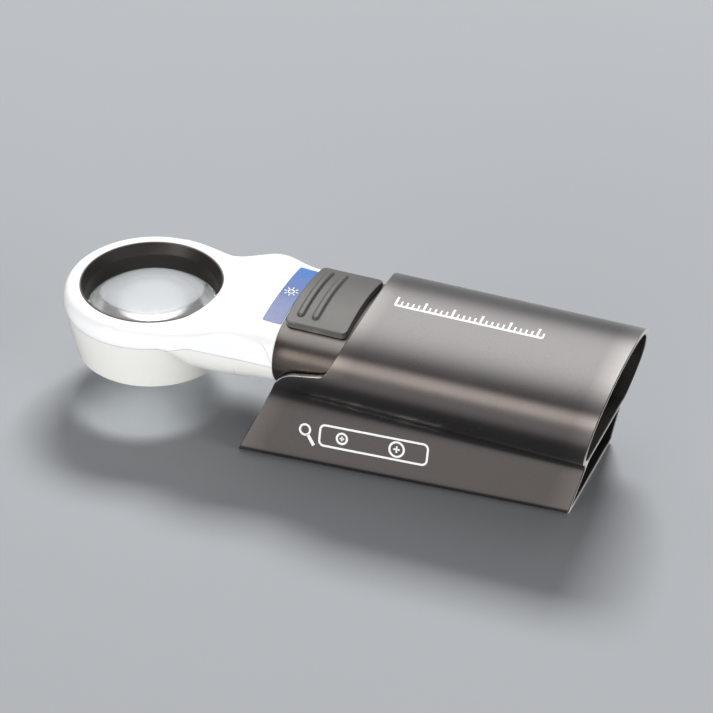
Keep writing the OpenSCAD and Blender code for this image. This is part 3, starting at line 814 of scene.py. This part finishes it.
def resample(path, count):
    """Points along a path, closer together where it bends."""
    step = np.diff(path, axis=0)
    length = np.linalg.norm(step, axis=1)
    keep = np.concatenate([[True], length > 1e-7])
    path = path[keep]
    step = np.diff(path, axis=0)
    length = np.linalg.norm(step, axis=1)
    heading = np.unwrap(np.arctan2(step[:, 1], step[:, 0]))
    turn = np.concatenate([[0], np.abs(np.diff(heading))])
    along = np.concatenate([[0], np.cumsum(length + 2.2 * np.minimum(turn, 1.0))])
    want = np.linspace(0, along[-1], count)
    return np.column_stack([np.interp(want, along, path[:, 0]), np.interp(want, along, path[:, 1])])


def split_at_parting(path, angle):
    """Cuts a ray's outline at the parting line, leaving a narrow groove."""
    c = math.cos(angle)
    above = path[:, 1] - part_height(path[:, 0] * c)
    crossing = int(np.argmax(above < 0))
    upper, lower = path[:crossing], path[crossing:]
    share = above[crossing - 1] / (above[crossing - 1] - above[crossing])
    cut = upper[-1] + (lower[0] - upper[-1]) * share
    return np.vstack([upper, cut]), np.vstack([cut, lower])


def head_angles():
    """Ray angles, closest together over the neck and where the outline meets the neck's end."""
    corner = math.degrees(math.atan2(GRIP_CY + GRIP_R, NECK_END))
    near = [corner + d for d in (-0.7, -0.45, -0.25, -0.12, -0.04, 0.04, 0.12, 0.25)]
    half = sorted(set(list(np.arange(0.25, 62, 0.5)) + near + list(np.arange(64, 179.5, 2.5))))
    return np.radians(sorted([-a for a in half] + half))


def ray_points(path, angle):
    c, s = math.cos(angle), math.sin(angle)
    return [(LENS_X + r * c, r * s, RIM_Z + z) for r, z in path]


def parting_face(outer, angle, lift):
    """The flat joint between the shells, from the outside in to the bore."""
    r = np.linspace(outer[0], RIM_R, 8)[1:]
    return np.column_stack([r, part_height(r * math.cos(angle)) + lift])


def make_head():
    upper, lower = Shape(), Shape()
    upper_rings, lower_rings = [], []
    flange = lens_flange_z
    for angle in head_angles():
        high, low = split_at_parting(head_line(angle), angle)
        high, low = resample(high, 44), resample(low, 60)
        lip_up = high[-1] + [0, PART_GAP / 2]
        lip_low = low[0] - [0, PART_GAP / 2]
        high = np.vstack([high[:-1], lip_up])
        low = np.vstack([lip_low, low[1:]])
        bore = part_height(RIM_R * math.cos(angle))
        top_face = parting_face(lip_up, angle, PART_GAP / 2)
        wall = line((RIM_R, bore + PART_GAP / 2), (RIM_R, high[0, 1]), 7)[1:-1]
        upper_rings.append(upper.ring(ray_points(np.vstack([high, top_face, wall]), angle)))
        low_face = parting_face(lip_low, angle, -PART_GAP / 2)[::-1]
        inner = np.array([(SKIRT_IN_R + 0.5, FOOT_Z), (SKIRT_IN_R + 0.15, FOOT_Z + 0.12),
                          (SKIRT_IN_R, FOOT_Z + 0.45), (SKIRT_IN_R, LEDGE_Z - 1.6), (LEDGE_R, LEDGE_Z),
                          (LEDGE_R, flange[0] - 0.05), (FLANGE_R + 0.05, flange[0] - 0.05),
                          (FLANGE_R + 0.05, flange[1]), (RIM_R, flange[1])])
        lower_rings.append(lower.ring(ray_points(np.vstack([low, inner, low_face]), angle)))
    for shape, rings in ((upper, upper_rings), (lower, lower_rings)):
        for i in range(len(rings)):
            shape.join(rings[i], rings[(i + 1) % len(rings)])
    top = upper.build("head_upper_moulding", "magnifier", [white_shell], crease=38)
    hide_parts("head_upper_shell")
    base = lower.build("head_lower_moulding", "magnifier", [cream_shell], crease=38)
    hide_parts("head_lower_shell")
    return top, base


SKIRT_IN_R = 18.5
LEDGE_R = 17.3
LEDGE_Z = -10.8
FLANGE_R = lens_high.y
lens_flange_z = (-9.5, -7.95)
head_top, head_base = make_head()

# ---------- lens ring and lens ----------


def make_ring():
    outer, low = ring_high.y, ring_low.z - RIM_Z
    inner = 17.3
    shape = Shape()
    profile = np.vstack([
        [(outer, low + 0.1), (outer - 0.1, low), (inner + 0.1, low), (inner, low + 0.1)],
        line((inner, low + 0.5), (inner, -3.05), 4), bend((inner, -3.0), (inner, -2.85), (inner + 0.06, -2.7), 4),
        line((inner + 0.1, -2.6), (outer - 0.42, -0.12), 6),
        bend((outer - 0.40, -0.08), (outer - 0.36, 0.0), (outer - 0.26, 0.0), 4),
        bend((outer - 0.12, 0.0), (outer, 0.0), (outer, -0.12), 4)])
    lathe(shape, profile)
    piece = shape.build("lens_ring_satin", "magnifier", [black_ring], crease=30)
    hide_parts("lens_ring")


def make_lens():
    """A thick biconvex lens with a thin flange, turned about its axis."""
    top_r, low_r = 25.5, 28.0
    rim = 17.2
    top_z, low_z = lens_high.z - RIM_Z, lens_low.z - RIM_Z
    flange = lens_flange_z
    shape = Shape()
    steps = 26
    top_turn = math.degrees(math.asin(rim / top_r))
    low_turn = math.degrees(math.asin(rim / low_r))
    upper = arc(0, top_z - top_r, top_r, 90 - 0.5, 90 - top_turn, steps)
    lower = arc(0, low_z + low_r, low_r, -90 + low_turn, -90 + 0.5, steps)
    rimmed = [(rim, flange[1]), (FLANGE_R, flange[1]), (FLANGE_R, flange[0]), (rim, flange[0])]
    profile = np.vstack([upper, rimmed, lower])
    turns = 160
    rings = []
    for r, z in profile:
        rings.append(shape.ring([(LENS_X + r * math.cos(a), r * math.sin(a), RIM_Z + z)
                                 for a in np.linspace(0, 2 * math.pi, turns, endpoint=False)]))
    for a, b in zip(rings[:-1], rings[1:]):
        shape.join(a, b)
    for ring, z in ((rings[0], top_z), (rings[-1], low_z)):
        pole = shape.ring([(LENS_X, 0, RIM_Z + z)])[0]
        for i in range(turns):
            shape.face((ring[i], ring[(i + 1) % turns], pole))
    piece = shape.build("magnifying_lens", "magnifier", [lens_glass], crease=30)
    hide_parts("lens")


make_ring()
make_lens()

# ---------- handle ----------

SHELL_T = 1.8
GRIP_BEVEL = 0.18
PART_ROW = RIM_Z + PART_NECK


def shell_loop(upper):
    """Cross-section of one half of the handle's shell as outer and inner runs of points."""
    outer = half_oval(GRIP_CY, GRIP_R, GRIP_UP if upper else GRIP_DOWN, 30)
    inner = half_oval(GRIP_CY, GRIP_R - SHELL_T, (GRIP_UP if upper else GRIP_DOWN) - SHELL_T, 30)
    side = 1 if upper else -1
    cut = (PART_ROW - GRIP_Z + side * PART_GAP / 2) * side
    runs = []
    for run, radius in ((outer, GRIP_R), (inner, GRIP_R - SHELL_T)):
        turn = math.degrees(math.asin(cut / radius))
        extra = arc(GRIP_CY, 0, radius, turn, 0, 4)
        if cut < 0:
            run = np.vstack([extra[:-1], run, (extra[:-1] * [-1, 1])[::-1]])
        else:
            ends = run[:, 1] >= cut
            keep = run[ends]
            first = [GRIP_CY + radius * math.cos(math.radians(turn)), cut]
            run = np.vstack([first, keep, [-first[0], cut]])
            if len(runs):
                run = resample_even(run, len(runs[0]))
        runs.append(run)
    runs = [resample_even(run, 110) for run in runs]
    return [np.column_stack([run[:, 0], GRIP_Z + side * run[:, 1]]) for run in runs]


def resample_even(path, count):
    length = np.concatenate([[0], np.cumsum(np.linalg.norm(np.diff(path, axis=0), axis=1))])
    want = np.linspace(0, length[-1], count)
    return np.column_stack([np.interp(want, length, path[:, 0]), np.interp(want, length, path[:, 1])])


def make_handle(upper, name, node):
    outer, inner = shell_loop(upper)
    loop = np.vstack([outer, inner[::-1]])
    middle = loop.mean(axis=0)
    area = np.sum(loop[:, 0] * np.roll(loop[:, 1], -1) - np.roll(loop[:, 0], -1) * loop[:, 1])
    inset = offset(loop, GRIP_BEVEL * (1 if area > 0 else -1))
    low, high = grip_low.x, grip_high.x
    shape = Shape()
    rings = []
    for x, points in ((low, inset), (low + GRIP_BEVEL * 0.3, inset * 0.3 + loop * 0.7), (low + GRIP_BEVEL, loop),
                      *((x, loop) for x in np.linspace(low + 4, high - 4, 8)), (high - GRIP_BEVEL, loop),
                      (high, inset)):
        rings.append(shape.ring([(x, y, z) for y, z in points]))
    for a, b in zip(rings[:-1], rings[1:]):
        shape.join(a, b)
    count = len(outer)
    for ring in (rings[0], rings[-1]):
        for i in range(count - 1):
            shape.face((ring[i], ring[i + 1], ring[2 * count - 2 - i], ring[2 * count - 1 - i]))
    piece = shape.build(name, "magnifier", [handle_coat], crease=35)
    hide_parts(node)
    return piece


def cut_boxes(piece, boxes):
    """Cuts box-shaped openings, given by their low and high corners in millimetres, out of a piece."""
    for low, high in boxes:
        block = bmesh.new()
        bmesh.ops.create_cube(block, size=1)
        for vert in block.verts:
            vert.co = Vector([(low[i] + (vert.co[i] + 0.5) * (high[i] - low[i])) * MM for i in range(3)])
        mesh = bpy.data.meshes.new("cutter")
        block.to_mesh(mesh)
        block.free()
        cutter = bpy.data.objects.new("cutter", mesh)
        scene.collection.objects.link(cutter)
        cut = piece.modifiers.new("opening", "BOOLEAN")
        cut.operation = "DIFFERENCE"
        cut.solver = "EXACT"
        cut.object = cutter
        bpy.context.view_layer.update()
        made = bpy.data.meshes.new_from_object(piece.evaluated_get(bpy.context.evaluated_depsgraph_get()))
        piece.modifiers.remove(cut)
        piece.data = made
        bpy.data.objects.remove(cutter)
    piece.data.set_sharp_from_angle(angle=math.radians(35))


handle_top = make_handle(True, "handle_upper_moulding", "handle_upper_shell")
make_handle(False, "handle_lower_moulding", "handle_lower_shell")

# The opening that the switch's stem slides in
STEM = (50.0, 55.0)
STEM_W = 6.0
TRAVEL = frame["joints"][[j["name"] for j in frame["joints"]].index("switch_slide")]["range_m"][1] / MM
cut_boxes(handle_top, [((LENS_X + STEM[0] - TRAVEL - 0.4, -STEM_W / 2 - 0.4, RIM_Z),
                        (LENS_X + STEM[1] + 0.4, STEM_W / 2 + 0.4, RIM_Z + 20))])

# ---------- switch slider and label ----------


def grip_surface(y, lift):
    """Height of the handle's crown, raised by lift."""
    big = crown_radius(GRIP_CY, GRIP_R, GRIP_UP)
    return GRIP_Z + GRIP_UP - big + np.sqrt((big + lift) ** 2 - y ** 2)


def spaced(count, reach=0.55):
    """Numbers from -1 to 1 that crowd together at both ends."""
    t = np.linspace(-1, 1, count)
    return t * (1 - reach) + np.sin(t * math.pi / 2) * reach


def slab(shape, low, high, corner, top, bottom, counts, edge):
    """A plate with round corners and a rounded upper edge, over a curved surface."""
    middle = (low + high) / 2
    half = (high - low) / 2
    rows = []
    for v in spaced(counts[1], 0.9) * half[1]:
        past = max(abs(v) - (half[1] - corner), 0)
        reach = half[0] - corner + math.sqrt(max(corner ** 2 - past ** 2, 0))
        x = middle[0] + spaced(counts[0], 0.9) * reach
        y = np.full(len(x), middle[1] + v)
        inset = np.minimum(reach - np.abs(x - middle[0]), half[1] - abs(v))
        t = np.clip(1 - inset / edge, 0, 1)
        z = top(x, y) - edge * (1 - np.sqrt(1 - t ** 2))
        rows.append((x, y, z))
    tops = [shape.ring(np.column_stack(row)) for row in rows]
    bases = [shape.ring(np.column_stack([x, y, bottom(x, y)])) for x, y, z in rows]
    for rings in (tops, bases):
        for a, b in zip(rings[:-1], rings[1:]):
            shape.join(a, b, closed=False)
    shape.join(tops[0], bases[0], closed=False)
    shape.join(tops[-1], bases[-1], closed=False)
    for side in (0, -1):
        shape.join([r[side] for r in tops], [r[side] for r in bases], closed=False)


def make_slider():
    lift, thick = 0.25, 1.5
    rib_rise, rib_w, rib_len = 0.65, 1.7, 21.4
    ribs = [plate_low.x + 3.3, plate_low.x + 7.3]

    def top(x, y):
        z = grip_surface(y, lift + thick)
        for at in ribs:
            along = np.maximum(np.abs(y) - (rib_len - rib_w) / 2, 0)
            away = np.hypot(x - at, along) / (rib_w / 2)
            rib = rib_rise * np.sqrt(np.clip(1 - away ** 3, 0, 1))
            groove = 0.16 * np.exp(-((away - 1.12) / 0.13) ** 2)
            z = z + rib - np.where(away > 1, groove, 0)
        return z
    shape = Shape()
    low = np.array([plate_low.x, plate_low.y])
    high = np.array([plate_high.x, plate_high.y])
    slab(shape, low, high, 1.6, top, lambda x, y: grip_surface(y, lift), (150, 170), 0.4)
    piece = shape.build("slider_cap", "switch", [slider_coat], crease=50)
    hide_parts("switch_slider")
    stem = Shape()
    stem_low = np.array([LENS_X + STEM[0], -STEM_W / 2])
    stem_high = np.array([LENS_X + STEM[1], STEM_W / 2])
    slab(stem, stem_low, stem_high, 0.5, lambda x, y: grip_surface(y, lift + 0.2),
         lambda x, y: np.full(len(x), plate_low.z), (12, 12), 0.3)
    foot = stem.build("slider_stem", "switch", [slider_coat], crease=40)


def neck_surface(x, y, lift):
    return RIM_Z + top_height(x - LENS_X, y) + lift


def make_label():
    thick = 0.1
    shape = Shape()
    low = np.array([label_low.x - 0.1, label_low.y])
    high = np.array([label_high.x, label_high.y])
    slab(shape, low, high, 0.4, lambda x, y: neck_surface(x, y, thick), lambda x, y: neck_surface(x, y, -0.15),
         (16, 60), 0.05)
    piece = shape.build("function_label_film", "magnifier", [label_film], crease=50)
    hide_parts("function_label")
    mark = Shape()

    def place(x, y, lift):
        return (x, y, float(neck_surface(np.array(x), np.array(y), thick + lift)))
    centre = np.array([(label_low.x + label_high.x) / 2, 0.0])
    ribbon(mark, circle_points(centre, 0.75, 24), 0.32, place, closed=True)
    for i in range(8):
        way = np.array([math.cos(math.tau * i / 8), math.sin(math.tau * i / 8)])
        ribbon(mark, line(centre + way * 1.2, centre + way * 1.9, 3), 0.3, place)
    sun = mark.build("label_mark", "magnifier", [print_white])


make_slider()
make_label()

# ---------- finishes of the CAD pieces that stay ----------

FINISHES = {
    "light_window": window_clear, "led_board": solder_mask, "led_lamp": lamp_phosphor,
    "led_wire_positive": wire_red, "led_wire_negative": wire_black, "neck_screws": steel,
    "switch_bridge_contact": brass, "switch_pads": brass, "switch_board": solder_mask,
    "drive_resistor": resistor_body, "battery_cover": cover_coat, "battery_cell_left": cell_wrap,
    "battery_cell_middle": cell_wrap, "battery_cell_right": cell_wrap, "front_contact_positive": steel,
    "front_contact_bridge": steel, "front_spring": steel, "rear_contact_bridge": steel,
    "rear_contact_negative": steel, "rear_springs": steel, "negative_rail": brass,
}
for node, finish in FINISHES.items():
    for held in frame["nodes"][node].material_slots:
        held.material = finish

# ---------- floor, lights and camera ----------


FLOOR_GAP = 0.00005


def make_floor():
    mesh = bpy.data.meshes.new("floor")
    half = 6.0
    mesh.from_pydata([(-half, -half, 0), (half, -half, 0), (half, half, 0), (-half, half, 0)], [], [(0, 1, 2, 3)])
    floor = bpy.data.objects.new("floor", mesh)
    scene.collection.objects.link(floor)
    paper = surface("floor_paper", (0.35, 0.364, 0.382), 0.75, scale=1500, tone=0.01, bump=0.02, specular=0.15)
    mesh.materials.append(paper)
    floor.location.z = -FLOOR_GAP
    floor.visible_glossy = False


def soft_box(name, place, aim, size, power, colour=(1, 1, 1), glossy=True):
    data = bpy.data.lights.new(name, "AREA")
    data.shape = "RECTANGLE"
    data.size, data.size_y = size
    data.energy = power
    data.color = colour
    lamp = bpy.data.objects.new(name, data)
    scene.collection.objects.link(lamp)
    lamp.location = place
    lamp.rotation_mode = "QUATERNION"
    lamp.rotation_quaternion = (Vector(aim) - Vector(place)).to_track_quat("-Z", "Y")
    lamp.visible_glossy = glossy
    lamp.visible_transmission = glossy
    return lamp


def facing(nodes, links, direction, toward, low_angle, high_angle, strength):
    """Brightness round a direction: full within high_angle degrees of it, none beyond low_angle."""
    dot = nodes.new("ShaderNodeVectorMath")
    dot.operation = "DOT_PRODUCT"
    dot.inputs[1].default_value = Vector(toward).normalized()
    links.new(direction, dot.inputs[0])
    glow = nodes.new("ShaderNodeMapRange")
    glow.interpolation_type = "SMOOTHSTEP"
    glow.inputs["From Min"].default_value = math.cos(math.radians(low_angle))
    glow.inputs["From Max"].default_value = math.cos(math.radians(high_angle))
    glow.inputs["To Max"].default_value = strength
    links.new(dot.outputs["Value"], glow.inputs["Value"])
    return glow.outputs["Result"]


def tinted(nodes, links, strength, colour):
    """A colour scaled by a strength socket."""
    made = nodes.new("ShaderNodeVectorMath")
    made.operation = "SCALE"
    made.inputs[0].default_value = colour
    links.new(strength, made.inputs["Scale"])
    return made.outputs["Vector"]


def mix_share(nodes, links, is_diffuse):
    """The share of the glows that lights matt surfaces; the rest comes from the soft boxes."""
    share = nodes.new("ShaderNodeMapRange")
    share.inputs["To Min"].default_value = 1.0
    share.inputs["To Max"].default_value = DIFFUSE_SHARE
    links.new(is_diffuse, share.inputs["Value"])
    return share.outputs["Result"]


def make_world():
    """A soft box overhead towards the back, a low warm card in front, and a dim room."""
    world = bpy.data.worlds.new("studio")
    scene.world = world
    world.use_nodes = True
    nodes, links = world.node_tree.nodes, world.node_tree.links
    where = nodes.new("ShaderNodeTexCoord").outputs["Generated"]
    parts = [tinted(nodes, links, facing(nodes, links, where, *glow[0]), glow[1]) for glow in GLOWS]
    total = parts[0]
    for part in parts[1:]:
        add = nodes.new("ShaderNodeVectorMath")
        add.operation = "ADD"
        links.new(total, add.inputs[0])
        links.new(part, add.inputs[1])
        total = add.outputs["Vector"]
    add = nodes.new("ShaderNodeVectorMath")
    add.operation = "ADD"
    add.inputs[1].default_value = ROOM
    links.new(total, add.inputs[0])
    path = nodes.new("ShaderNodeLightPath")
    matt = tinted(nodes, links, mix_share(nodes, links, path.outputs["Is Diffuse Ray"]), (1.0, 1.0, 1.0))
    held = nodes.new("ShaderNodeVectorMath")
    held.operation = "MULTIPLY"
    links.new(add.outputs["Vector"], held.inputs[0])
    links.new(matt, held.inputs[1])
    seen = mix(nodes, links, path.outputs["Is Camera Ray"], held.outputs["Vector"], BACKDROP)
    links.new(seen, nodes["Background"].inputs["Color"])


# Each glow: (direction, outer angle, inner angle, strength), then its colour
GLOWS = [
    (((-0.15, 0.27, 0.95), 58, 12, 2.15), (1.0, 1.0, 1.0)),
    (((0.35, 0.75, -0.55), 50, 15, 0.6), (1.0, 1.0, 1.0)),
    (((-0.31, -0.895, 0.325), 20, 3, 1.75), (1.0, 0.91, 0.85)),
    (((-0.20, -0.97, -0.09), 42, 5, 0.46), (1.0, 0.94, 0.90)),
    (((-0.3, 0.95, 0.12), 50, 5, 0.35), (0.95, 0.98, 1.0)),
]
ROOM = (0.045, 0.046, 0.05)
DIFFUSE_SHARE = 0.19
BACKDROP = (0.50, 0.52, 0.55)


def make_camera():
    azimuth, elevation = math.radians(21.98), math.radians(35.25)
    focal_in_pixels, picture = 3400.0, 713.0
    distance = 0.8557
    target = Vector((-0.01525, -0.01149, 0.0298))
    back = Vector((math.sin(azimuth) * math.cos(elevation), -math.cos(azimuth) * math.cos(elevation),
                   math.sin(elevation)))
    data = bpy.data.cameras.new("camera")
    data.sensor_width = 36.0
    data.lens = data.sensor_width * focal_in_pixels / picture
    data.clip_start, data.clip_end = 0.05, 50.0
    camera = bpy.data.objects.new("camera", data)
    scene.collection.objects.link(camera)
    camera.location = target + back * distance
    camera.rotation_mode = "QUATERNION"
    camera.rotation_quaternion = (-back).to_track_quat("-Z", "Y")
    scene.camera = camera


make_floor()
make_world()
soft_box("back_box", (-0.3, 1.7, 1.75), (0, 0, 0), (1.0, 0.6), 78.0, glossy=False)
soft_box("side_fill", (1.5, -0.3, 0.45), (0.06, 0, 0.03), (0.8, 0.6), 9.0, glossy=False)
soft_box("front_fill", (-0.2, -1.4, 0.14), (-0.03, 0, 0.02), (1.8, 0.2), 20.0, glossy=False)
make_camera()
scene.view_settings.view_transform = "Standard"
